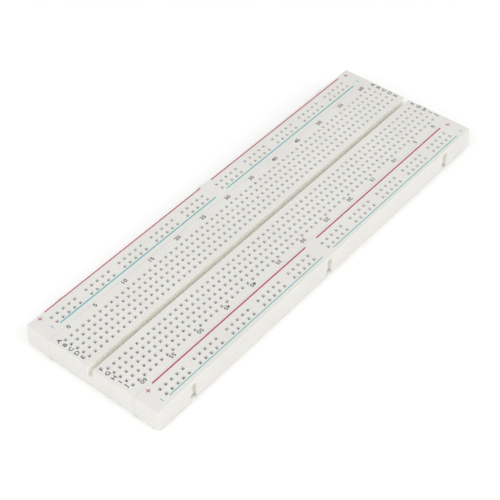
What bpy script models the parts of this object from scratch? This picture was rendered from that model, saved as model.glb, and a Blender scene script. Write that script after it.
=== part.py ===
"""A solderless breadboard: a terminal strip between two power strips that hook onto it.

Rows A to E lie on the +Y side of the terminal strip's centre channel and rows F to J on the -Y side,
so the power strip on +Y is the A side's and the one on -Y the J side's.

Every strip is an open-bottomed moulding with square tie-point holes in its deck, spring contacts
pushed up into it from below, a foam pad that closes the underside and a release liner.
The power strips are one and the same moulding: dovetail slots on the -Y side, dovetail tabs on +Y.
The board lies in the XY plane with its length along X and its underside at Z = 0.
"""

from math import cos, pi, sin

import bmesh
import bpy
from mathutils import Matrix, Vector

MM = 0.001

# Tie-point grid
PITCH = 2.54 * MM
COLUMNS = 63
ROWS = 5
FIRST_ROW = 1.5 * PITCH  # from the middle of the centre channel to rows E and F
RAIL_GROUPS = 5
GROUP_HOLES = 5
GROUP_STEP = 6 * PITCH
FIRST_RAIL_HOLE = 1.5 * PITCH  # from the first column, along the board
SECOND_HALF = 32.5 * PITCH  # from the first column to the first rail hole of the second half
HOLE_SIDE = 1.1 * MM

# Outlines seen from above
LENGTH = 165.1 * MM
TERMINAL_WIDTH = 35.0 * MM
POWER_WIDTH = 9.5 * MM
SEAM = 0.3 * MM
CORNER_RADIUS = 0.8 * MM
CORNER_STEPS = 3

# Heights
LINER_THICKNESS = 0.1 * MM
FOAM_THICKNESS = 0.5 * MM
LAYER_GAP = 0.2 * MM
BODY_HEIGHT = 7.8 * MM
DECK_THICKNESS = 1.5 * MM
PAD_INSET = 0.6 * MM

# Centre channel and the cavities under the deck
CHANNEL_WIDTH = 2.0 * MM
CHANNEL_DEPTH = 4.5 * MM
TERMINAL_CAVITY_MARGIN = 0.95 * MM  # from the outer holes' centres to the cavity wall
RAIL_CAVITY_MARGIN = 0.95 * MM
CAVITY_END_MARGIN = 1.1 * MM

# Dovetails
DOVETAIL_SPACING = 67.0 * MM
SLOT_MOUTH = 2.7 * MM
SLOT_BACK = 3.7 * MM
SLOT_DEPTH = 1.45 * MM
SLOT_TOP_MARGIN = 1.3 * MM
TAB_LENGTH = 1.4 * MM
DOVETAIL_PLAY = 0.25 * MM
NOTCH_MARGIN = 0.4 * MM

# Spring contacts
SPRING_WIDTH = 1.3 * MM
SPRING_THICKNESS = 0.25 * MM
SPRING_BASE = 0.3 * MM  # above the moulding's underside
SPRING_HEIGHT = 5.7 * MM
CLIPS_IN_BANK = 3

OVERCUT = 1.0 * MM

BODY_BOTTOM = LINER_THICKNESS + FOAM_THICKNESS + 2 * LAYER_GAP
BODY_TOP = BODY_BOTTOM + BODY_HEIGHT
CAVITY_TOP = BODY_TOP - DECK_THICKNESS
FOAM_BOTTOM = LINER_THICKNESS + LAYER_GAP
SPRING_BOTTOM = BODY_BOTTOM + SPRING_BASE
POWER_CENTRE = TERMINAL_WIDTH / 2 + SEAM + POWER_WIDTH / 2
FIRST_COLUMN = -(COLUMNS - 1) / 2 * PITCH
CHANNEL_MIDDLE = -TAB_LENGTH / 2  # the tabs on +Y count in the board's width
RAIL_STARTS = [FIRST_COLUMN + FIRST_RAIL_HOLE, FIRST_COLUMN + SECOND_HALF]
RAIL_LENGTH = (RAIL_GROUPS - 1) * GROUP_STEP + (GROUP_HOLES - 1) * PITCH


def clear_scene():
    for obj in list(bpy.data.objects):
        bpy.data.objects.remove(obj, do_unlink=True)


def material(name, colour, roughness, metallic=0.0):
    made = bpy.data.materials.new(name)
    made.use_nodes = True
    shader = made.node_tree.nodes["Principled BSDF"]
    shader.inputs["Base Color"].default_value = (*colour, 1.0)
    shader.inputs["Roughness"].default_value = roughness
    shader.inputs["Metallic"].default_value = metallic
    return made


def empty(name, y=0.0, parent=None):
    made = bpy.data.objects.new(name, None)
    made.location.y = y
    made.parent = parent
    bpy.context.collection.objects.link(made)
    return made


def add_object(name, bm, parent, finish=None):
    """An object holding the bmesh, with its faces pointing out."""
    bmesh.ops.recalc_face_normals(bm, faces=bm.faces)
    mesh = bpy.data.meshes.new(name)
    bm.to_mesh(mesh)
    bm.free()
    obj = bpy.data.objects.new(name, mesh)
    obj.parent = parent
    if finish:
        mesh.materials.append(finish)
    bpy.context.collection.objects.link(obj)
    return obj


def add_prism(bm, outline, low, high, axis="Z"):
    """Extrudes a closed outline along an axis; the outline's two coordinates are the other two axes."""
    place = {
        "X": lambda a, b: Vector((low, a, b)),
        "Y": lambda a, b: Vector((a, low, b)),
        "Z": lambda a, b: Vector((a, b, low)),
    }[axis]
    face = bm.faces.new([bm.verts.new(place(a, b)) for a, b in outline])
    grown = bmesh.ops.extrude_face_region(bm, geom=[face])["geom"]
    shift = Vector([high - low if name == axis else 0.0 for name in "XYZ"])
    bmesh.ops.translate(bm, vec=shift, verts=[v for v in grown if isinstance(v, bmesh.types.BMVert)])


def add_box(bm, low, high):
    size = Vector(high) - Vector(low)
    middle = (Vector(high) + Vector(low)) / 2
    bmesh.ops.create_cube(bm, size=1.0, matrix=Matrix.Translation(middle) @ Matrix.Diagonal((*size, 1.0)))


def rounded_rectangle(length, width):
    """The outline of a strip seen from above, with its corners as arcs."""
    points = []
    for turn, (sx, sy) in enumerate([(1, 1), (-1, 1), (-1, -1), (1, -1)]):
        centre_x = sx * (length / 2 - CORNER_RADIUS)
        centre_y = sy * (width / 2 - CORNER_RADIUS)
        for step in range(CORNER_STEPS + 1):
            angle = (turn + step / CORNER_STEPS) * pi / 2
            points.append((centre_x + CORNER_RADIUS * cos(angle), centre_y + CORNER_RADIUS * sin(angle)))
    return points


def notched_rectangle(length, width, notch_width, notch_depth):
    """A pad's outline: a rectangle with a notch under each dovetail slot on its -Y side."""
    points = [(length / 2, width / 2), (-length / 2, width / 2), (-length / 2, -width / 2)]
    for x in dovetail_places():
        left = x - notch_width / 2
        right = x + notch_width / 2
        points += [(left, -width / 2), (left, notch_depth - width / 2)]
        points += [(right, notch_depth - width / 2), (right, -width / 2)]
    return points + [(length / 2, -width / 2)]


def dovetail_places():
    return [-DOVETAIL_SPACING, 0.0, DOVETAIL_SPACING]


def dovetail(x, face_y, narrow, wide, length, root):
    """A dovetail seen from above. It widens towards +Y, and root reaches back behind the face."""
    return [
        (x - narrow / 2, face_y - root),
        (x + narrow / 2, face_y - root),
        (x + narrow / 2, face_y),
        (x + wide / 2, face_y + length),
        (x - wide / 2, face_y + length),
        (x - narrow / 2, face_y),
    ]


def boolean(obj, other, operation):
    other.hide_render = True
    other.display_type = "WIRE"
    modifier = obj.modifiers.new(other.name, "BOOLEAN")
    modifier.operation = operation
    modifier.solver = "EXACT"
    modifier.object = other


def terminal_holes():
    """Centres of the terminal strip's tie points: columns along X, rows A to E on +Y, F to J on -Y."""
    for side in (-1, 1):
        for row in range(ROWS):
            for column in range(COLUMNS):
                yield FIRST_COLUMN + column * PITCH, side * (FIRST_ROW + row * PITCH)


def rail_holes():
    """Centres of a power strip's tie points: two rows, each in two halves of five groups."""
    for row_y in (-PITCH / 2, PITCH / 2):
        for start in RAIL_STARTS:
            for group in range(RAIL_GROUPS):
                for hole in range(GROUP_HOLES):
                    yield start + group * GROUP_STEP + hole * PITCH, row_y


def terminal_cavities():
    """Boxes under the deck for the terminal clips, one on each side of the channel, as (x0, y0, x1, y1)."""
    reach = -FIRST_COLUMN + CAVITY_END_MARGIN
    near = FIRST_ROW - TERMINAL_CAVITY_MARGIN
    far = FIRST_ROW + (ROWS - 1) * PITCH + TERMINAL_CAVITY_MARGIN
    return [(-reach, near, reach, far), (-reach, -far, reach, -near)]


def rail_cavities():
    """Boxes under the deck of a power strip, one for each row and half."""
    for row_y in (-PITCH / 2, PITCH / 2):
        for start in RAIL_STARTS:
            yield (
                start - CAVITY_END_MARGIN,
                row_y - RAIL_CAVITY_MARGIN,
                start + RAIL_LENGTH + CAVITY_END_MARGIN,
                row_y + RAIL_CAVITY_MARGIN,
            )


def moulding(name, width, holes, cavities, channel, parent, finish):
    """A strip's moulded body with its cavities, channel, slots, tabs and tie-point holes."""
    bm = bmesh.new()
    add_prism(bm, rounded_rectangle(LENGTH, width), BODY_BOTTOM, BODY_TOP)
    body = add_object(name, bm, parent, finish)

    bm = bmesh.new()
    for x0, y0, x1, y1 in cavities:
        add_box(bm, (x0, y0, BODY_BOTTOM - OVERCUT), (x1, y1, CAVITY_TOP))
    if channel:
        reach = LENGTH / 2 + OVERCUT
        half = CHANNEL_WIDTH / 2
        add_box(bm, (-reach, -half, BODY_TOP - CHANNEL_DEPTH), (reach, half, BODY_TOP + OVERCUT))
    for x in dovetail_places():
        slot = dovetail(x, -width / 2, SLOT_MOUTH, SLOT_BACK, SLOT_DEPTH, OVERCUT)
        add_prism(bm, slot, BODY_BOTTOM - OVERCUT, BODY_TOP - SLOT_TOP_MARGIN)
    boolean(body, add_object(name + "_cavity_cutter", bm, parent), "DIFFERENCE")

    bm = bmesh.new()
    tab_top = BODY_TOP - SLOT_TOP_MARGIN - DOVETAIL_PLAY
    flare = (SLOT_BACK - SLOT_MOUTH) / SLOT_DEPTH
    narrow = SLOT_MOUTH - 2 * DOVETAIL_PLAY - flare * SEAM
    wide = narrow + flare * TAB_LENGTH
    for x in dovetail_places():
        add_prism(bm, dovetail(x, width / 2, narrow, wide, TAB_LENGTH, CORNER_RADIUS), BODY_BOTTOM, tab_top)
    boolean(body, add_object(name + "_tabs", bm, parent), "UNION")

    bm = bmesh.new()
    half = HOLE_SIDE / 2
    for x, y in holes:
        add_box(bm, (x - half, y - half, CAVITY_TOP - OVERCUT), (x + half, y + half, BODY_TOP + OVERCUT))
    boolean(body, add_object(name + "_hole_cutter", bm, parent), "DIFFERENCE")
    return body


def pad(name, width, bottom, thickness, parent, finish):
    """A foam pad or a liner, notched so that a neighbour's tabs pass it."""
    bm = bmesh.new()
    notch_width = SLOT_BACK + 2 * NOTCH_MARGIN
    notch_depth = SLOT_DEPTH + NOTCH_MARGIN - PAD_INSET
    outline = notched_rectangle(LENGTH - 2 * PAD_INSET, width - 2 * PAD_INSET, notch_width, notch_depth)
    add_prism(bm, outline, bottom, bottom + thickness)
    return add_object(name, bm, parent, finish)


def leaf_pair_outline(centres):
    """A comb seen along the leaves: one base with a pair of leaves round each centre."""
    half = SPRING_WIDTH / 2
    top = SPRING_BOTTOM + SPRING_HEIGHT
    shoulder = SPRING_BOTTOM + SPRING_THICKNESS
    points = [(centres[-1] + half, SPRING_BOTTOM), (centres[0] - half, SPRING_BOTTOM)]
    for centre in centres:
        if centre != centres[0]:
            points.append((centre - half, shoulder))
        points.append((centre - half, top))
        points.append((centre - half + SPRING_THICKNESS, top))
        points.append((centre - half + SPRING_THICKNESS, shoulder))
        points.append((centre + half - SPRING_THICKNESS, shoulder))
        points.append((centre + half - SPRING_THICKNESS, top))
        points.append((centre + half, top))
        if centre != centres[-1]:
            points.append((centre + half, shoulder))
    return points


def clip_bank(name, first, side, parent, finish):
    """Clips of neighbouring columns, each joining the five holes of its column on one side of the channel."""
    bm = bmesh.new()
    centres = [FIRST_COLUMN + (first + i) * PITCH for i in range(CLIPS_IN_BANK)]
    inner = side * (FIRST_ROW - SPRING_WIDTH / 2)
    outer = side * (FIRST_ROW + (ROWS - 1) * PITCH + SPRING_WIDTH / 2)
    add_prism(bm, leaf_pair_outline(centres), min(inner, outer), max(inner, outer), axis="Y")
    return add_object(name, bm, parent, finish)


def rail_contact(name, start, row_y, parent, finish):
    """One contact strip of a power rail: a channel whose leaves are parted between the groups of holes."""
    bm = bmesh.new()
    half = SPRING_WIDTH / 2
    end = start + RAIL_LENGTH
    outline = leaf_pair_outline([row_y])
    add_prism(bm, outline, start - half, end + half, axis="X")
    contact = add_object(name, bm, parent, finish)

    bm = bmesh.new()
    for group in range(1, RAIL_GROUPS):
        gap = start + group * GROUP_STEP - PITCH
        low = (gap - half, row_y - half - OVERCUT, SPRING_BOTTOM + SPRING_THICKNESS)
        high = (gap + half, row_y + half + OVERCUT, BODY_TOP)
        add_box(bm, low, high)
    boolean(contact, add_object(name + "_gap_cutter", bm, parent), "DIFFERENCE")
    return contact


def terminal_strip(parent, plastic, spring, foam, paper):
    moulding("terminal_moulding", TERMINAL_WIDTH, terminal_holes(), terminal_cavities(), True, parent, plastic)
    pad("terminal_foam_pad", TERMINAL_WIDTH, FOAM_BOTTOM, FOAM_THICKNESS, parent, foam)
    pad("terminal_release_liner", TERMINAL_WIDTH, 0.0, LINER_THICKNESS, parent, paper)
    for side, rows in ((1, "ae"), (-1, "fj")):
        for bank in range(COLUMNS // CLIPS_IN_BANK):
            clip_bank(f"clips_{rows}_{bank + 1:02d}", bank * CLIPS_IN_BANK, side, parent, spring)


def power_strip(which, parent, plastic, spring, foam, paper):
    moulding(f"{which}_power_moulding", POWER_WIDTH, rail_holes(), rail_cavities(), False, parent, plastic)
    pad(f"{which}_power_foam_pad", POWER_WIDTH, FOAM_BOTTOM, FOAM_THICKNESS, parent, foam)
    pad(f"{which}_power_release_liner", POWER_WIDTH, 0.0, LINER_THICKNESS, parent, paper)
    for sign, row_y in (("plus", PITCH / 2), ("minus", -PITCH / 2)):
        for half, start in enumerate(RAIL_STARTS, 1):
            rail_contact(f"{which}_{sign}_rail_contact_{half}", start, row_y, parent, spring)


def main():
    clear_scene()
    plastic = material("white_abs", (0.86, 0.85, 0.81), 0.42)
    spring = material("nickel_plated_bronze", (0.72, 0.70, 0.66), 0.28, 1.0)
    foam = material("white_foam", (0.78, 0.77, 0.72), 0.95)
    paper = material("liner_paper", (0.80, 0.76, 0.66), 0.70)
    board = empty("board", y=CHANNEL_MIDDLE)
    beside_j = empty("j_side_power_strip", y=-POWER_CENTRE, parent=board)
    terminal = empty("terminal_strip", parent=board)
    beside_a = empty("a_side_power_strip", y=POWER_CENTRE, parent=board)
    power_strip("j_side", beside_j, plastic, spring, foam, paper)
    terminal_strip(terminal, plastic, spring, foam, paper)
    power_strip("a_side", beside_a, plastic, spring, foam, paper)


main()
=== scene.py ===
"""The looks of a solderless breadboard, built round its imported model.

The three mouldings are made again with chamfered tie points, one slot for each clip and rounded edges.
The spring contacts become bent sheet metal with a pair of fingers at every tie point, the foam pads
fill the space between moulding and liner, and the print is thin ink on the decks. Sizes are in metres.
"""

from math import cos, pi, radians, sin

import bmesh
import bpy
from mathutils import Matrix, Vector


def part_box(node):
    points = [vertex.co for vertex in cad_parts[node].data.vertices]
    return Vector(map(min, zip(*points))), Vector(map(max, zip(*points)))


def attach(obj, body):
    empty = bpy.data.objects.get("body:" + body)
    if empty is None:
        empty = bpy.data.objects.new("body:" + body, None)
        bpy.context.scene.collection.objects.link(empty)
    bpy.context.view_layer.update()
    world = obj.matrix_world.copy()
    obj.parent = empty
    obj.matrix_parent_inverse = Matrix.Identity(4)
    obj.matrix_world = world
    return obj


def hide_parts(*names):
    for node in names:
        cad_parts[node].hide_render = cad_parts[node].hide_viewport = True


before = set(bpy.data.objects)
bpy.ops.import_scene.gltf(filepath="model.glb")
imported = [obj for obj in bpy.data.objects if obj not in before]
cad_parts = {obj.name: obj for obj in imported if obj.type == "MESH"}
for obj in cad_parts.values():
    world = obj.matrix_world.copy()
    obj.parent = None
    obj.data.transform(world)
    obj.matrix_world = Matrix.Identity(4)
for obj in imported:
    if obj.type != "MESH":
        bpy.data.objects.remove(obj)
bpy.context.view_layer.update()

MM = 0.001

# Tie-point grid
PITCH = 2.54 * MM
COLUMNS = 63
ROWS = 5
FIRST_COLUMN = -(COLUMNS - 1) / 2 * PITCH
FIRST_ROW = 1.5 * PITCH
RAIL_GROUPS = 5
GROUP_HOLES = 5
GROUP_STEP = 6 * PITCH
RAIL_STARTS = [FIRST_COLUMN + 1.5 * PITCH, FIRST_COLUMN + 32.5 * PITCH]
RAIL_LENGTH = (RAIL_GROUPS - 1) * GROUP_STEP + (GROUP_HOLES - 1) * PITCH

# Tie points and what lies under the deck
HOLE_MOUTH = 1.40 * MM
HOLE_THROAT = 1.10 * MM
HOLE_CHAMFER = 0.20 * MM
DECK_THICKNESS = 1.5 * MM
DECK_DROP = 0.02 * MM  # the deck lies this much under the CAD top, which the ink reaches
SLOT_WIDTH = 1.9 * MM
SLOT_END_MARGIN = 0.95 * MM
RAIL_END_MARGIN = 1.1 * MM

# Channel and dovetails
CHANNEL_WIDTH = 2.0 * MM
CHANNEL_DEPTH = 4.5 * MM
CHANNEL_EDGE = 0.08 * MM
DOVETAIL_PLACES = [-67.0 * MM, 0.0, 67.0 * MM]
SLOT_MOUTH = 2.7 * MM
SLOT_BACK = 3.7 * MM
SLOT_DEPTH = 1.45 * MM
SLOT_TOP_MARGIN = 1.3 * MM
TAB_LENGTH = 1.4 * MM
TAB_PLAY = 0.25 * MM

# Edges of the mouldings
OUTER_CORNER = 0.6 * MM
SEAM_CORNER = 0.15 * MM
OUTER_EDGE = 0.3 * MM
SEAM_EDGE = 0.03 * MM
SEAM_REACH = 0.14 * MM  # how far each strip reaches into the gap that the CAD model keeps between neighbours
BOTTOM_EDGE = 0.15 * MM
ARC_STEPS = 6

# Contacts
SHEET_THICKNESS = 0.15 * MM
FINGER_WIDTH = 1.3 * MM
CLIPS_IN_BANK = 3

# Print. It was laid on the finished board a little askew, so all of it drifts together.
INK_TOP = 0.004 * MM
INK_DEPTH = 0.03 * MM
PRINT_DRIFT = 0.95 * MM
PRINT_SLOPE = -0.0040
RED_WIDTHS = {"a_side": 0.38 * MM, "j_side": 0.48 * MM}
BLUE_WIDTHS = {"a_side": 0.44 * MM, "j_side": 0.30 * MM}
RED_LINE = 3.4 * MM
BLUE_LINE = -3.55 * MM
LINE_SPANS = [(3.8 * MM, 77.3 * MM), (83.0 * MM, 155.0 * MM)]
SIGN_PLACES = [0.95 * MM, 158.2 * MM]
PLUS_SIZE = 1.7 * MM
MINUS_SIZE = 1.4 * MM
SIGN_STROKE = 0.26 * MM
PLUS_ROW = 2.4 * MM
MINUS_ROW = -2.95 * MM
LETTER_PLACES = [-1.76 * MM, 160.1 * MM]
TEXT_SIZE = 2.0 * MM
TEXT_STRETCH = 1.18
LAST_NUMBER = 60
NUMBER_COUNT = 13
A_NUMBERS_ROW = 15.88 * MM
A_NUMBERS_START = 3.95 * MM
A_NUMBERS_STEP = 12.62 * MM
A_DIGIT_SHIFTS = [0.25 * MM, -0.7 * MM]  # the one-digit numbers stand off the even spacing
J_NUMBERS_ROW = -16.57 * MM
J_NUMBERS_START = 2.9 * MM
J_NUMBERS_STEP = 12.74 * MM
J_LAST_SHIFT = -1.7 * MM

# Painted light and shade on the walls of the recesses: where their colour changes, from the depth set on the
# next line, under the deck, up to it
PAINTED_LIGHT_DEPTH = 3.0 * MM
PAINTED_LIGHT_STOPS = [0.15, 0.50, 0.80, 1.0]
TIE_POINT_PALEST_PAINTED_LIGHT = (0.935, 0.933, 0.914)
# tie-point walls: painted light from the bottom up, painted shade at the rim
TIE_POINT_PAINTED_LIGHT_AND_SHADE = [TIE_POINT_PALEST_PAINTED_LIGHT, TIE_POINT_PALEST_PAINTED_LIGHT, TIE_POINT_PALEST_PAINTED_LIGHT, (0.790, 0.788, 0.768)]
CHANNEL_PALEST_PAINTED_LIGHT = (0.935, 0.930, 0.868)
# channel walls: painted shade low down, painted light higher up, painted shade at the rim
CHANNEL_PAINTED_LIGHT_AND_SHADE = [(0.870, 0.864, 0.805), CHANNEL_PALEST_PAINTED_LIGHT, CHANNEL_PALEST_PAINTED_LIGHT, (0.790, 0.784, 0.742)]

# Studio
FLOOR_HALF = 3.0
FLOOR_DROP = 0.02 * MM  # keeps the floor and the liners' undersides out of one plane
WORLD_STRENGTH = 0.77
LIGHT_SIZE = 1.3
KEY_PLACE = (-0.75, -0.15, 0.75)
KEY_POWER = 4.6
FILL_PLACE = (0.25, -0.95, 0.65)
FILL_POWER = 3.7

# Camera, with its angles in degrees and its target measured from the middle of the deck's channel
CAMERA_AZIMUTH = -50.34
CAMERA_ELEVATION = 44.92
CAMERA_ROLL = -0.431
CAMERA_DISTANCE = 0.44413
CAMERA_TARGET = (-13.7 * MM, -5.3 * MM)
CAMERA_LENS = 98.81  # on a sensor 36 mm wide

# Modelling
OVERCUT = 1.0 * MM
TOLERANCE = 0.01 * MM
SOFT_EDGE = 0.12 * MM  # bevel on the tabs and on the foam's rims
SHARP_ANGLE = 32  # degrees
PAD_MERGE = 0.001 * MM
PRINT_WEIGHT = 0.02 * MM  # how much the outlines of the letters and numbers are thickened
PRINT_MERGE = 0.0005 * MM
PRINT_DISSOLVE = 0.002 * MM

TERMINAL_LOW, TERMINAL_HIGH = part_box("terminal_moulding")
HALF_LENGTH = TERMINAL_HIGH.x
BODY_BOTTOM = TERMINAL_LOW.z
BODY_TOP = TERMINAL_HIGH.z
DECK_TOP = BODY_TOP - DECK_DROP
SLOT_TOP = BODY_TOP - DECK_THICKNESS
CHANNEL_MIDDLE = (TERMINAL_LOW.y + TERMINAL_HIGH.y - TAB_LENGTH) / 2


# ---------------------------------------------------------------- materials

class Shader:
    """A Principled material with a few helpers for its procedural parts."""

    def __init__(self, name, **sockets):
        self.material = bpy.data.materials.new(name)
        self.material.use_nodes = True
        self.tree = self.material.node_tree
        self.principled = self.tree.nodes["Principled BSDF"]
        for socket, value in sockets.items():
            self.principled.inputs[socket.replace("_", " ")].default_value = value
        self.coordinates = self.tree.nodes.new("ShaderNodeTexCoord").outputs["Object"]

    def stretched(self, scale):
        """Object coordinates scaled along each axis."""
        mapping = self.tree.nodes.new("ShaderNodeMapping")
        mapping.inputs["Scale"].default_value = scale
        self.tree.links.new(self.coordinates, mapping.inputs["Vector"])
        return mapping.outputs["Vector"]

    def noise(self, scale, detail=3.0, roughness=0.5, vector=None):
        """Noise with features of about 1 / scale metres."""
        node = self.tree.nodes.new("ShaderNodeTexNoise")
        node.inputs["Scale"].default_value = scale
        node.inputs["Detail"].default_value = detail
        node.inputs["Roughness"].default_value = roughness
        self.tree.links.new(vector or self.coordinates, node.inputs["Vector"])
        return node.outputs["Fac"]

    def cells(self, scale):
        node = self.tree.nodes.new("ShaderNodeTexVoronoi")
        node.inputs["Scale"].default_value = scale
        self.tree.links.new(self.coordinates, node.inputs["Vector"])
        return node.outputs["Distance"]

    def ramp(self, factor, *stops):
        """A colour ramp; each stop is (position, colour)."""
        node = self.tree.nodes.new("ShaderNodeValToRGB")
        elements = node.color_ramp.elements
        while len(elements) < len(stops):
            elements.new(0.5)
        for element, (position, colour) in zip(elements, stops):
            element.position = position
            element.color = (*colour, 1.0)
        self.tree.links.new(factor, node.inputs["Fac"])
        return node.outputs["Color"]

    def height(self, low, high):
        """0 at z = low and 1 at z = high, in the piece's own coordinates."""
        split = self.tree.nodes.new("ShaderNodeSeparateXYZ")
        node = self.tree.nodes.new("ShaderNodeMapRange")
        node.inputs["From Min"].default_value = low
        node.inputs["From Max"].default_value = high
        self.tree.links.new(self.coordinates, split.inputs[0])
        self.tree.links.new(split.outputs["Z"], node.inputs["Value"])
        return node.outputs["Result"]

    def spread(self, factor, low, high):
        """The factor's usual range, 0.3 to 0.7, mapped to low..high."""
        node = self.tree.nodes.new("ShaderNodeMapRange")
        node.inputs["From Min"].default_value = 0.3
        node.inputs["From Max"].default_value = 0.7
        node.inputs["To Min"].default_value = low
        node.inputs["To Max"].default_value = high
        self.tree.links.new(factor, node.inputs["Value"])
        return node.outputs["Result"]

    def connect(self, output, socket):
        self.tree.links.new(output, self.principled.inputs[socket])

    def bump(self, *layers):
        """Bump layers, each (height, distance in metres, strength), one on top of the other."""
        normal = None
        for height, distance, strength in layers:
            node = self.tree.nodes.new("ShaderNodeBump")
            node.inputs["Distance"].default_value = distance
            node.inputs["Strength"].default_value = strength
            self.tree.links.new(height, node.inputs["Height"])
            if normal:
                self.tree.links.new(normal, node.inputs["Normal"])
            normal = node.outputs["Normal"]
        self.connect(normal, "Normal")


def white_plastic(name, painted_light_and_shade=()):
    """Satin, milky ABS with the fine grain of the mould.

    Given colours for the recesses, their walls get painted light, standing in for light that has passed
    through the deck: paler than the deck and palest a little under the rim. The channel's walls get painted
    shade lower down, where slots and contacts lie behind them, and all get painted shade at the rim.
    """
    shader = Shader(name, Subsurface_Weight=0.2, Subsurface_Scale=0.0010, IOR=1.52)
    shader.principled.inputs["Subsurface Radius"].default_value = (1.0, 0.92, 0.75)
    clouds = shader.noise(60.0, detail=4.0)
    colour = shader.ramp(clouds, (0.3, (0.700, 0.689, 0.657)), (0.7, (0.728, 0.718, 0.689)))
    # painted light and shade: the recess walls' colour follows their height under the deck
    if painted_light_and_shade:
        height = shader.height(DECK_TOP - PAINTED_LIGHT_DEPTH, DECK_TOP)
        colour = shader.ramp(height, *zip(PAINTED_LIGHT_STOPS, painted_light_and_shade))
    shader.connect(colour, "Base Color")
    shader.connect(shader.spread(shader.noise(900.0), 0.36, 0.50), "Roughness")
    flow = shader.noise(40.0, detail=2.0, vector=shader.stretched((0.35, 1.0, 1.0)))
    grain = shader.noise(7000.0, detail=2.0)
    shader.bump((flow, 0.00006, 0.35), (grain, 0.000006, 0.45))
    return shader.material


def ink(name, colour, faded):
    """Pad-printed ink, thinner in places, with a slightly grainy surface."""
    shader = Shader(name, IOR=1.45)
    patches = shader.noise(2600.0, detail=4.0, roughness=0.65)
    shader.connect(shader.ramp(patches, (0.30, faded), (0.46, colour)), "Base Color")
    shader.connect(shader.spread(shader.noise(3000.0), 0.42, 0.62), "Roughness")
    shader.bump((shader.noise(9000.0), 0.000004, 0.5))
    return shader.material


def spring_metal():
    """Nickel-plated bronze strip, rolled along its length."""
    shader = Shader("nickel_plated_bronze", Metallic=1.0)
    streaks = shader.noise(500.0, detail=5.0, vector=shader.stretched((1.0, 1.0, 14.0)))
    colour = shader.ramp(streaks, (0.3, (0.60, 0.575, 0.53)), (0.7, (0.78, 0.76, 0.72)))
    shader.connect(colour, "Base Color")
    shader.connect(shader.spread(streaks, 0.20, 0.36), "Roughness")
    shader.bump((streaks, 0.000004, 0.4))
    return shader.material


def foam_tape():
    """White closed-cell foam with its cut cells showing on the sides."""
    shader = Shader("closed_cell_foam", Roughness=0.92, Subsurface_Weight=0.15, Subsurface_Scale=0.0008)
    cells = shader.cells(5200.0)
    colour = shader.ramp(cells, (0.0, (0.80, 0.79, 0.74)), (0.75, (0.62, 0.61, 0.56)))
    shader.connect(colour, "Base Color")
    shader.bump((shader.noise(700.0), 0.00005, 0.5), (cells, 0.00006, 0.8))
    return shader.material


def liner_paper():
    """Siliconed kraft liner: short fibres under a faint gloss."""
    shader = Shader("siliconed_kraft", Coat_Weight=0.25, Coat_Roughness=0.35)
    fibres = shader.noise(900.0, detail=6.0, roughness=0.7, vector=shader.stretched((0.6, 1.3, 1.0)))
    blotches = shader.noise(120.0, detail=3.0)
    colour = shader.ramp(fibres, (0.32, (0.70, 0.64, 0.52)), (0.68, (0.80, 0.75, 0.64)))
    shader.connect(colour, "Base Color")
    shader.connect(shader.spread(blotches, 0.55, 0.72), "Roughness")
    shader.bump((fibres, 0.00001, 0.5))
    return shader.material


# ---------------------------------------------------------------- mesh helpers

def new_object(name, bm, material):
    mesh = bpy.data.meshes.new(name)
    bm.to_mesh(mesh)
    bm.free()
    mesh.materials.append(material)
    obj = bpy.data.objects.new(name, mesh)
    bpy.context.scene.collection.objects.link(obj)
    return obj


def add_prism(bm, outline, low, high, axis="Z"):
    """Extrudes a closed outline along an axis; the outline's two coordinates are the other two axes."""
    def place(a, b, c):
        return {"X": (c, a, b), "Y": (a, c, b), "Z": (a, b, c)}[axis]

    first = [bm.verts.new(place(a, b, low)) for a, b in outline]
    last = [bm.verts.new(place(a, b, high)) for a, b in outline]
    add_rings(bm, [first, last])


def add_rings(bm, rings):
    """A closed body through rings of as many vertices each, capped at both ends."""
    faces = [bm.faces.new(rings[0]), bm.faces.new(rings[-1])]
    for lower, upper in zip(rings, rings[1:]):
        for i in range(len(lower)):
            j = (i + 1) % len(lower)
            faces.append(bm.faces.new((lower[i], lower[j], upper[j], upper[i])))
    bmesh.ops.recalc_face_normals(bm, faces=faces)


def add_box(bm, low, high):
    outline = [(low[0], low[1]), (high[0], low[1]), (high[0], high[1]), (low[0], high[1])]
    add_prism(bm, outline, low[2], high[2])


def apply_modifiers(obj):
    graph = bpy.context.evaluated_depsgraph_get()
    mesh = bpy.data.meshes.new_from_object(obj.evaluated_get(graph), depsgraph=graph)
    obj.modifiers.clear()
    obj.data = mesh


def combine(obj, bm, operation):
    """Cuts the bmesh's bodies out of obj, or joins them to it."""
    tool = new_object(obj.name + "_tool", bm, obj.data.materials[0])
    modifier = obj.modifiers.new("combine", "BOOLEAN")
    modifier.operation = operation
    modifier.solver = "MANIFOLD"
    modifier.object = tool
    apply_modifiers(obj)
    bpy.data.objects.remove(tool)


def give_recesses_painted_light(obj, tie_point_painted_light_plastic, channel_painted_light_plastic):
    """The walls of the tie points, and those of channel and dovetail slots, get plastics of their own with
    painted light and shade.
    """
    ys = [v.co.y for v in obj.data.vertices]
    y_low = min(ys) + OUTER_EDGE
    y_high = max(ys) - TAB_LENGTH - OUTER_EDGE
    obj.data.materials.append(tie_point_painted_light_plastic)
    obj.data.materials.append(channel_painted_light_plastic)
    for face in obj.data.polygons:
        x, y, z = face.center
        inside = abs(x) < HALF_LENGTH - OUTER_EDGE and y_low < y < y_high
        # faces below the chamfer take the plastics with painted light and shade
        if inside and z < DECK_TOP - HOLE_CHAMFER:
            lowest = min(obj.data.vertices[i].co.z for i in face.vertices)
            face.material_index = 1 if lowest > SLOT_TOP - TOLERANCE else 2


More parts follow.
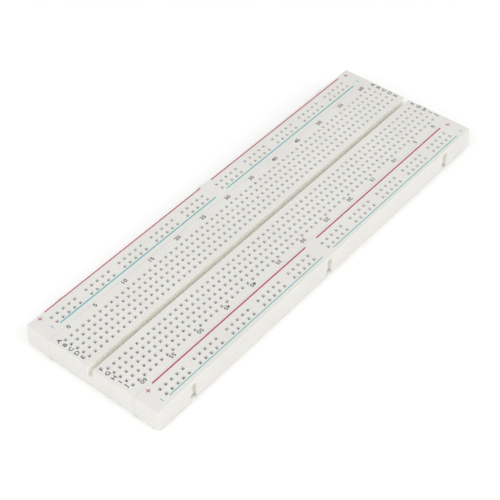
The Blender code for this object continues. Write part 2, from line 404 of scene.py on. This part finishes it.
def smooth_round_edges(obj):
    """Smooth shading over the rounded edges, with flat faces kept flat."""
    obj.data.shade_smooth()
    obj.data.set_sharp_from_angle(angle=radians(SHARP_ANGLE))
    modifier = obj.modifiers.new("flat faces", "WEIGHTED_NORMAL")
    modifier.keep_sharp = True
    apply_modifiers(obj)


# ---------------------------------------------------------------- mouldings

def outline_with_normals(y_low, y_high, corner_low, corner_high):
    """Points and outward normals round a strip, counter-clockwise from +X, with its corners as arcs."""
    found = []
    corners = [(1, y_high, corner_high), (-1, y_high, corner_high)]
    corners += [(-1, y_low, corner_low), (1, y_low, corner_low)]
    for quarter, (sx, y, radius) in enumerate(corners):
        centre = Vector((sx * (HALF_LENGTH - radius), y - radius if y == y_high else y + radius))
        for step in range(ARC_STEPS + 1):
            angle = (quarter + step / ARC_STEPS) * pi / 2
            normal = Vector((cos(angle), sin(angle)))
            found.append((centre + radius * normal, normal))
    return found


def rounded_strip(name, y_low, y_high, low_is_seam, high_is_seam, material):
    """A strip's block. Edges along a seam are nearly sharp and the outer ones are rounded."""
    y_low -= SEAM_REACH if low_is_seam else 0
    y_high += SEAM_REACH if high_is_seam else 0
    edges = {-1: SEAM_EDGE if low_is_seam else OUTER_EDGE, 1: SEAM_EDGE if high_is_seam else OUTER_EDGE}
    corner_low = SEAM_CORNER if low_is_seam else OUTER_CORNER
    corner_high = SEAM_CORNER if high_is_seam else OUTER_CORNER
    outline = outline_with_normals(y_low, y_high, corner_low, corner_high)

    def ring(inset_share, height_share, bottom):
        points = []
        for point, normal in outline:
            side = edges[1 if normal.y > 0 else -1]
            radius = BOTTOM_EDGE if bottom else OUTER_EDGE * normal.x**2 + side * normal.y**2
            place = point - normal * radius * inset_share
            z = BODY_BOTTOM + radius * height_share if bottom else DECK_TOP - radius * height_share
            points.append(bm.verts.new((place.x, place.y, z)))
        return points

    bm = bmesh.new()
    turns = [step / ARC_STEPS * pi / 2 for step in range(ARC_STEPS + 1)]
    rings = [ring(1 - sin(t), 1 - cos(t), True) for t in turns]
    rings += [ring(1 - cos(t), 1 - sin(t), False) for t in turns]
    add_rings(bm, rings)
    return new_object(name, bm, material)


def dovetail(x, face_y, narrow, wide, length, root):
    """A dovetail seen from above. It widens towards +Y, and root reaches back behind the face."""
    return [
        (x - narrow / 2, face_y - root),
        (x + narrow / 2, face_y - root),
        (x + narrow / 2, face_y),
        (x + wide / 2, face_y + length),
        (x - wide / 2, face_y + length),
        (x - narrow / 2, face_y),
    ]


def cut_dovetail_slots(body, y_low):
    bm = bmesh.new()
    for x in DOVETAIL_PLACES:
        slot = dovetail(x, y_low, SLOT_MOUTH, SLOT_BACK, SLOT_DEPTH, OVERCUT)
        add_prism(bm, slot, BODY_BOTTOM - OVERCUT, BODY_TOP - SLOT_TOP_MARGIN)
    combine(body, bm, "DIFFERENCE")


def add_dovetail_tabs(body, y_high, seam):
    bm = bmesh.new()
    flare = (SLOT_BACK - SLOT_MOUTH) / SLOT_DEPTH
    narrow = SLOT_MOUTH - 2 * TAB_PLAY - flare * seam
    wide = narrow + flare * TAB_LENGTH
    top = BODY_TOP - SLOT_TOP_MARGIN - TAB_PLAY
    for x in DOVETAIL_PLACES:
        add_prism(bm, dovetail(x, y_high, narrow, wide, TAB_LENGTH, OUTER_EDGE), BODY_BOTTOM, top)
    bmesh.ops.bevel(
        bm,
        geom=[edge for edge in bm.edges if min(v.co.y for v in edge.verts) > y_high],
        offset=SOFT_EDGE,
        segments=2,
        affect="EDGES",
    )
    combine(body, bm, "UNION")


def channel_outline():
    """The centre channel's section: straight walls that round over into the deck."""
    half = CHANNEL_WIDTH / 2
    points = [(half, BODY_TOP - CHANNEL_DEPTH)]
    for step in range(ARC_STEPS + 1):
        angle = step / ARC_STEPS * pi / 2
        points.append((half + CHANNEL_EDGE * (1 - cos(angle)), DECK_TOP - CHANNEL_EDGE * (1 - sin(angle))))
    points.append((half + CHANNEL_EDGE, BODY_TOP + OVERCUT))
    mirrored = [(-y, z) for y, z in reversed(points)]
    return [(CHANNEL_MIDDLE + y, z) for y, z in points + mirrored]


def cut_channel(body):
    bm = bmesh.new()
    reach = HALF_LENGTH + OVERCUT
    add_prism(bm, channel_outline(), -reach, reach, axis="X")
    combine(body, bm, "DIFFERENCE")


def cut_slots(body, slots):
    bm = bmesh.new()
    for x0, y0, x1, y1 in slots:
        add_box(bm, (x0, y0, BODY_BOTTOM - OVERCUT), (x1, y1, SLOT_TOP))
    combine(body, bm, "DIFFERENCE")


def square(bm, x, y, side, z):
    half = side / 2
    return [bm.verts.new((x + a * half, y + b * half, z)) for a, b in ((1, 1), (-1, 1), (-1, -1), (1, -1))]


def cut_tie_points(body, centres):
    """Square holes with a chamfered mouth that leads a wire in."""
    bm = bmesh.new()
    slope = (HOLE_MOUTH - HOLE_THROAT) / HOLE_CHAMFER
    above = 0.2 * MM
    for x, y in centres:
        mouth = square(bm, x, y, HOLE_MOUTH + slope * above, DECK_TOP + above)
        throat = square(bm, x, y, HOLE_THROAT, DECK_TOP - HOLE_CHAMFER)
        end = square(bm, x, y, HOLE_THROAT, SLOT_TOP - OVERCUT)
        add_rings(bm, [end, throat, mouth])
    combine(body, bm, "DIFFERENCE")


def terminal_centres():
    return [
        (FIRST_COLUMN + column * PITCH, CHANNEL_MIDDLE + side * (FIRST_ROW + row * PITCH))
        for side in (-1, 1)
        for row in range(ROWS)
        for column in range(COLUMNS)
    ]


def terminal_slots():
    near = FIRST_ROW - SLOT_END_MARGIN
    far = FIRST_ROW + (ROWS - 1) * PITCH + SLOT_END_MARGIN
    slots = []
    for column in range(COLUMNS):
        x = FIRST_COLUMN + column * PITCH
        x0, x1 = x - SLOT_WIDTH / 2, x + SLOT_WIDTH / 2
        for low, high in ((near, far), (-far, -near)):
            slots.append((x0, CHANNEL_MIDDLE + low, x1, CHANNEL_MIDDLE + high))
    return slots


def rail_centres(middle):
    return [
        (start + group * GROUP_STEP + hole * PITCH, middle + row)
        for row in (-PITCH / 2, PITCH / 2)
        for start in RAIL_STARTS
        for group in range(RAIL_GROUPS)
        for hole in range(GROUP_HOLES)
    ]


def rail_slots(middle):
    slots = []
    for row in (-PITCH / 2, PITCH / 2):
        for start in RAIL_STARTS:
            low = (start - RAIL_END_MARGIN, middle + row - SLOT_WIDTH / 2)
            high = (start + RAIL_LENGTH + RAIL_END_MARGIN, middle + row + SLOT_WIDTH / 2)
            slots.append((*low, *high))
    return slots


def strip_sides(node):
    """The two long faces of a strip, without its tabs."""
    low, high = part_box(node)
    return low.y, high.y - TAB_LENGTH


def make_terminal_body(plastic, recesses, seam):
    y_low, y_high = strip_sides("terminal_moulding")
    body = rounded_strip("terminal_body", y_low, y_high, True, True, plastic)
    cut_slots(body, terminal_slots())
    cut_channel(body)
    cut_dovetail_slots(body, y_low)
    add_dovetail_tabs(body, y_high, seam)
    cut_tie_points(body, terminal_centres())
    give_recesses_painted_light(body, *recesses)
    finish_piece(body, "terminal_strip", "body_plastic", "terminal_moulding")


def make_power_body(side, plastic, recesses, seam):
    node = f"{side}_power_moulding"
    y_low, y_high = strip_sides(node)
    low_is_seam = y_low > 0
    body = rounded_strip(f"{side}_power_body", y_low, y_high, low_is_seam, not low_is_seam, plastic)
    middle = (y_low + y_high) / 2
    cut_slots(body, rail_slots(middle))
    cut_dovetail_slots(body, y_low)
    add_dovetail_tabs(body, y_high, seam)
    cut_tie_points(body, rail_centres(middle))
    give_recesses_painted_light(body, *recesses)
    finish_piece(body, f"{side}_power_strip", "body_plastic", node)


def finish_piece(piece, body, slot=None, *nodes):
    smooth_round_edges(piece)
    settle(piece, body, slot, *nodes)


def settle(piece, body, slot=None, *nodes):
    """Says what a piece rides on and which nodes it stands for; slot is not used."""
    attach(piece, body)
    if nodes:
        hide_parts(*nodes)


# ---------------------------------------------------------------- contacts

def finger_profile():
    """Half of a contact's section, from the middle of its base to a finger's flared tip."""
    return [
        (0.0, 0.09 * MM),
        (0.34 * MM, 0.09 * MM),
        (0.47 * MM, 0.12 * MM),
        (0.55 * MM, 0.22 * MM),
        (0.57 * MM, 0.40 * MM),
        (0.57 * MM, 1.30 * MM),
        (0.55 * MM, 2.40 * MM),
        (0.48 * MM, 3.40 * MM),
        (0.34 * MM, 4.30 * MM),
        (0.18 * MM, 4.95 * MM),
        (0.14 * MM, 5.12 * MM),
        (0.19 * MM, 5.28 * MM),
        (0.40 * MM, 5.62 * MM),
    ]


BASE_POINTS = 6  # how many of the profile's points belong to the base, which runs on between the fingers


def contact_mesh(name, finger_centres, along_x, material):
    """Bent sheet: a base with raised sides that runs on under a pair of fingers for every tie point.

    The origin lies under the middle of the base's width, and the finger centres are measured from it.
    """
    half = finger_profile()
    profile = [(-u, w) for u, w in reversed(half[1:])] + half
    first_base = len(half) - BASE_POINTS
    last_base = len(half) + BASE_POINTS - 2
    lines = []
    for centre in finger_centres:
        lines += [centre - FINGER_WIDTH / 2, centre + FINGER_WIDTH / 2]
    bm = bmesh.new()
    grid = {}

    def vertex(i, j):
        if (i, j) not in grid:
            u, w = profile[i]
            grid[i, j] = bm.verts.new((lines[j], u, w) if along_x else (u, lines[j], w))
        return grid[i, j]

    for i in range(len(profile) - 1):
        in_base = first_base <= i < last_base
        for j in range(len(lines) - 1):
            if in_base or j % 2 == 0:
                bm.faces.new((vertex(i, j), vertex(i + 1, j), vertex(i + 1, j + 1), vertex(i, j + 1)))
    bmesh.ops.recalc_face_normals(bm, faces=bm.faces)
    sheet = new_object(name, bm, material)
    modifier = sheet.modifiers.new("sheet", "SOLIDIFY")
    modifier.thickness = SHEET_THICKNESS
    modifier.offset = 0.0
    modifier.use_even_offset = True
    smooth_round_edges(sheet)
    mesh = sheet.data
    bpy.data.objects.remove(sheet)
    return mesh


def place_contact(name, mesh, x, y, base, body, node):
    piece = bpy.data.objects.new(name, mesh)
    piece.location = (x, y, base)
    bpy.context.scene.collection.objects.link(piece)
    settle(piece, body, "spring_metal", node)


def bank_mesh(clip):
    """The clips of neighbouring columns side by side, as separate solids in one mesh."""
    bm = bmesh.new()
    for i in range(CLIPS_IN_BANK):
        before = len(bm.verts)
        bm.from_mesh(clip)
        added = bm.verts[before:]
        bmesh.ops.translate(bm, vec=(i * PITCH, 0, 0), verts=added)
    mesh = bpy.data.meshes.new("clip_bank")
    bm.to_mesh(mesh)
    bm.free()
    mesh.materials.append(clip.materials[0])
    return mesh


def make_contacts(metal):
    clip = contact_mesh("clip", [(row - (ROWS - 1) / 2) * PITCH for row in range(ROWS)], False, metal)
    bank = bank_mesh(clip)
    column_middle = FIRST_ROW + (ROWS - 1) / 2 * PITCH
    for side, rows in ((1, "ae"), (-1, "fj")):
        for number in range(COLUMNS // CLIPS_IN_BANK):
            node = f"clips_{rows}_{number + 1:02d}"
            x = FIRST_COLUMN + number * CLIPS_IN_BANK * PITCH
            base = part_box(node)[0].z
            y = CHANNEL_MIDDLE + side * column_middle
            place_contact(node + "_springs", bank, x, y, base, "terminal_strip", node)
    groups = [group * GROUP_STEP for group in range(RAIL_GROUPS)]
    fingers = [start + hole * PITCH for start in groups for hole in range(GROUP_HOLES)]
    rail = contact_mesh("rail_contact", fingers, True, metal)
    for side in ("a_side", "j_side"):
        for sign in ("plus", "minus"):
            for half, start in enumerate(RAIL_STARTS, 1):
                node = f"{side}_{sign}_rail_contact_{half}"
                low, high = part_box(node)
                y = (low.y + high.y) / 2
                place_contact(node + "_springs", rail, start, y, low.z, f"{side}_power_strip", node)


# ---------------------------------------------------------------- foam and liner

def make_foam(strip, body, foam):
    """The CAD pad's outline, thick enough to touch both the moulding and the liner, with softened edges."""
    node = strip + "_foam_pad"
    liner_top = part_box(strip + "_release_liner")[1].z
    low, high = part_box(node)
    bm = bmesh.new()
    bm.from_mesh(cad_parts[node].data)
    bmesh.ops.remove_doubles(bm, verts=bm.verts, dist=PAD_MERGE)
    bmesh.ops.dissolve_limit(bm, angle_limit=radians(1), verts=bm.verts, edges=bm.edges)
    for vertex in bm.verts:
        vertex.co.z = liner_top if vertex.co.z < (low.z + high.z) / 2 else BODY_BOTTOM
    rims = [e for e in bm.edges if abs(e.verts[0].co.z - e.verts[1].co.z) < TOLERANCE]
    bmesh.ops.bevel(bm, geom=rims, offset=SOFT_EDGE, segments=3, affect="EDGES")
    piece = new_object(strip + "_foam_tape", bm, foam)
    finish_piece(piece, body, "foam", node)


def dress_liner(strip, paper):
    for material_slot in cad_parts[strip + "_release_liner"].material_slots:
        material_slot.material = paper


# ---------------------------------------------------------------- print

def printed(x, y):
    """Where a point of the print lands: x is from the first column and y from the channel's middle."""
    return FIRST_COLUMN + x, CHANNEL_MIDDLE + y + PRINT_DRIFT + PRINT_SLOPE * x


def add_ink_bar(bm, x0, x1, y, width):
    """A straight stroke along the board, following the print's drift."""
    outline = [printed(x0, y - width / 2), printed(x1, y - width / 2)]
    outline += [printed(x1, y + width / 2), printed(x0, y + width / 2)]
    add_prism(bm, outline, DECK_TOP - INK_DEPTH, BODY_TOP - INK_TOP)


def make_power_print(side, middle, red, blue):
    body = f"{side}_power_strip"
    row = middle - CHANNEL_MIDDLE
    lines = (("red", RED_LINE, RED_WIDTHS[side], red), ("blue", BLUE_LINE, BLUE_WIDTHS[side], blue))
    for name, offset, width, colour in lines:
        bm = bmesh.new()
        for x0, x1 in LINE_SPANS:
            add_ink_bar(bm, x0, x1, row + offset, width)
        settle(new_object(f"{side}_{name}_lines", bm, colour), body)
    half = PLUS_SIZE / 2
    stroke = SIGN_STROKE / 2
    bm = bmesh.new()
    for x in SIGN_PLACES:
        cross = [(-half, -stroke), (-stroke, -stroke), (-stroke, -half), (stroke, -half)]
        cross += [(stroke, -stroke), (half, -stroke), (half, stroke), (stroke, stroke)]
        cross += [(stroke, half), (-stroke, half), (-stroke, stroke), (-half, stroke)]
        outline = [printed(x + a, row + PLUS_ROW + b) for a, b in cross]
        add_prism(bm, outline, DECK_TOP - INK_DEPTH, BODY_TOP - INK_TOP)
    settle(new_object(f"{side}_plus_signs", bm, red), body)
    bm = bmesh.new()
    for x in SIGN_PLACES:
        add_ink_bar(bm, x - stroke, x + stroke, row + MINUS_ROW, MINUS_SIZE)
    settle(new_object(f"{side}_minus_signs", bm, blue), body)


def label_mesh(text):
    """A label as a thin closed mesh, centred on its origin, with its top at z = 0."""
    curve = bpy.data.curves.new("label", "FONT")
    curve.body = text
    curve.size = TEXT_SIZE
    curve.align_x = "CENTER"
    curve.align_y = "CENTER"
    curve.offset = PRINT_WEIGHT
    curve.resolution_u = 4
    thickness = DECK_DROP + INK_DEPTH - INK_TOP
    curve.extrude = thickness / 2
    obj = bpy.data.objects.new("label", curve)
    bpy.context.scene.collection.objects.link(obj)
    graph = bpy.context.evaluated_depsgraph_get()
    mesh = bpy.data.meshes.new_from_object(obj.evaluated_get(graph), depsgraph=graph)
    bpy.data.objects.remove(obj)
    xs = [v.co.x for v in mesh.vertices]
    ys = [v.co.y for v in mesh.vertices]
    centring = Matrix.Translation((-(min(xs) + max(xs)) / 2, -(min(ys) + max(ys)) / 2, -thickness / 2))
    mesh.transform(Matrix.Diagonal((TEXT_STRETCH, 1, 1, 1)) @ centring)
    return mesh


def make_labels(name, labels, black):
    """labels holds (text, x, y, turn in degrees)."""
    bm = bmesh.new()
    for text, x, y, turn in labels:
        mesh = label_mesh(text)
        place_x, place_y = printed(x, y)
        mesh.transform(Matrix.Rotation(radians(turn), 4, "Z"))
        mesh.transform(Matrix.Translation((place_x, place_y, BODY_TOP - INK_TOP)))
        bm.from_mesh(mesh)
    bmesh.ops.remove_doubles(bm, verts=bm.verts, dist=PRINT_MERGE)
    bmesh.ops.dissolve_degenerate(bm, edges=bm.edges, dist=PRINT_DISSOLVE)
    settle(new_object(name, bm, black), "terminal_strip")


def make_terminal_print(black, faint):
    letters = []
    for x in LETTER_PLACES:
        for i, letter in enumerate("ABCDEFGHIJ"):
            row = FIRST_ROW + (ROWS - 1 - i) * PITCH if i < ROWS else -FIRST_ROW - (i - ROWS) * PITCH
            letters.append((letter, x, row, 0))
    make_labels("terminal_row_letters", letters, black)
    a_numbers, j_numbers = [], []
    for i in range(NUMBER_COUNT):
        x = A_NUMBERS_START + i * A_NUMBERS_STEP + (A_DIGIT_SHIFTS[i] if i < len(A_DIGIT_SHIFTS) else 0)
        a_numbers.append((str(5 * i), x, A_NUMBERS_ROW, 0))
        x = J_NUMBERS_START + i * J_NUMBERS_STEP + (J_LAST_SHIFT if i == NUMBER_COUNT - 1 else 0)
        j_numbers.append((str(LAST_NUMBER - 5 * i), x, J_NUMBERS_ROW, 180))
    make_labels("terminal_a_side_numbers", a_numbers, black)
    make_labels("terminal_j_side_numbers", j_numbers, faint)


# ---------------------------------------------------------------- stage, light and camera

def make_stage():
    bm = bmesh.new()
    bmesh.ops.create_grid(bm, x_segments=1, y_segments=1, size=FLOOR_HALF)
    shader = Shader("pale_floor", Roughness=0.7)
    tint = shader.noise(3.0, detail=1.0)
    colour = shader.ramp(tint, (0.3, (0.975, 0.975, 0.975)), (0.7, (0.985, 0.985, 0.985)))
    shader.connect(colour, "Base Color")
    floor = new_object("floor", bm, shader.material)
    floor.location.z = -FLOOR_DROP


def add_area_light(name, place, power):
    """A round soft box aimed at the board."""
    light = bpy.data.lights.new(name, "AREA")
    light.shape = "DISK"
    light.size = LIGHT_SIZE
    light.energy = power
    lamp = bpy.data.objects.new(name, light)
    lamp.location = place
    lamp.rotation_mode = "QUATERNION"
    lamp.rotation_quaternion = (-Vector(place)).to_track_quat("-Z", "Y")
    bpy.context.scene.collection.objects.link(lamp)


def make_lights():
    world = bpy.data.worlds.new("studio")
    world.use_nodes = True
    background = world.node_tree.nodes["Background"]
    background.inputs["Color"].default_value = (1.0, 1.0, 1.0, 1.0)
    background.inputs["Strength"].default_value = WORLD_STRENGTH
    bpy.context.scene.world = world
    add_area_light("key", KEY_PLACE, KEY_POWER)
    add_area_light("fill", FILL_PLACE, FILL_POWER)
    bpy.context.scene.view_settings.view_transform = "Standard"


def make_camera():
    """The camera looks down on the board from beyond its column 1 end, on the J side."""
    azimuth = radians(CAMERA_AZIMUTH)
    elevation = radians(CAMERA_ELEVATION)
    target = Vector((CAMERA_TARGET[0], CHANNEL_MIDDLE + CAMERA_TARGET[1], BODY_TOP))
    back = Vector((sin(azimuth) * cos(elevation), -cos(azimuth) * cos(elevation), sin(elevation)))
    data = bpy.data.cameras.new("camera")
    data.lens = CAMERA_LENS
    data.sensor_width = 36.0
    camera = bpy.data.objects.new("camera", data)
    camera.location = target + back * CAMERA_DISTANCE
    camera.rotation_mode = "QUATERNION"
    roll = Matrix.Rotation(radians(CAMERA_ROLL), 3, "Z").to_quaternion()
    camera.rotation_quaternion = (-back).to_track_quat("-Z", "Y") @ roll
    bpy.context.scene.collection.objects.link(camera)
    bpy.context.scene.camera = camera


def main():
    plastic = white_plastic("white_plastic")
    # copies of the plastic with painted light and shade for the walls of tie points, channel and dovetail
    # slots
    recesses = (
        white_plastic("white_plastic_tie_points_painted_light", TIE_POINT_PAINTED_LIGHT_AND_SHADE),
        white_plastic("white_plastic_channel_painted_light", CHANNEL_PAINTED_LIGHT_AND_SHADE),
    )
    metal = spring_metal()
    foam = foam_tape()
    paper = liner_paper()
    red = ink("red_ink", (0.430, 0.022, 0.085), (0.52, 0.12, 0.19))
    blue = ink("blue_ink", (0.090, 0.400, 0.430), (0.26, 0.50, 0.52))
    black = ink("black_ink", (0.012, 0.012, 0.012), (0.10, 0.10, 0.10))
    faint = ink("faint_black_ink", (0.060, 0.060, 0.058), (0.26, 0.26, 0.25))
    terminal_high = strip_sides("terminal_moulding")[1]
    seam = strip_sides("a_side_power_moulding")[0] - terminal_high
    make_terminal_body(plastic, recesses, seam)
    for side in ("a_side", "j_side"):
        make_power_body(side, plastic, recesses, seam)
        make_power_print(side, sum(strip_sides(f"{side}_power_moulding")) / 2, red, blue)
    make_terminal_print(black, faint)
    make_contacts(metal)
    for strip, body in (
        ("terminal", "terminal_strip"),
        ("a_side_power", "a_side_power_strip"),
        ("j_side_power", "j_side_power_strip"),
    ):
        make_foam(strip, body, foam)
        dress_liner(strip, paper)
    make_stage()
    make_lights()
    make_camera()


main()
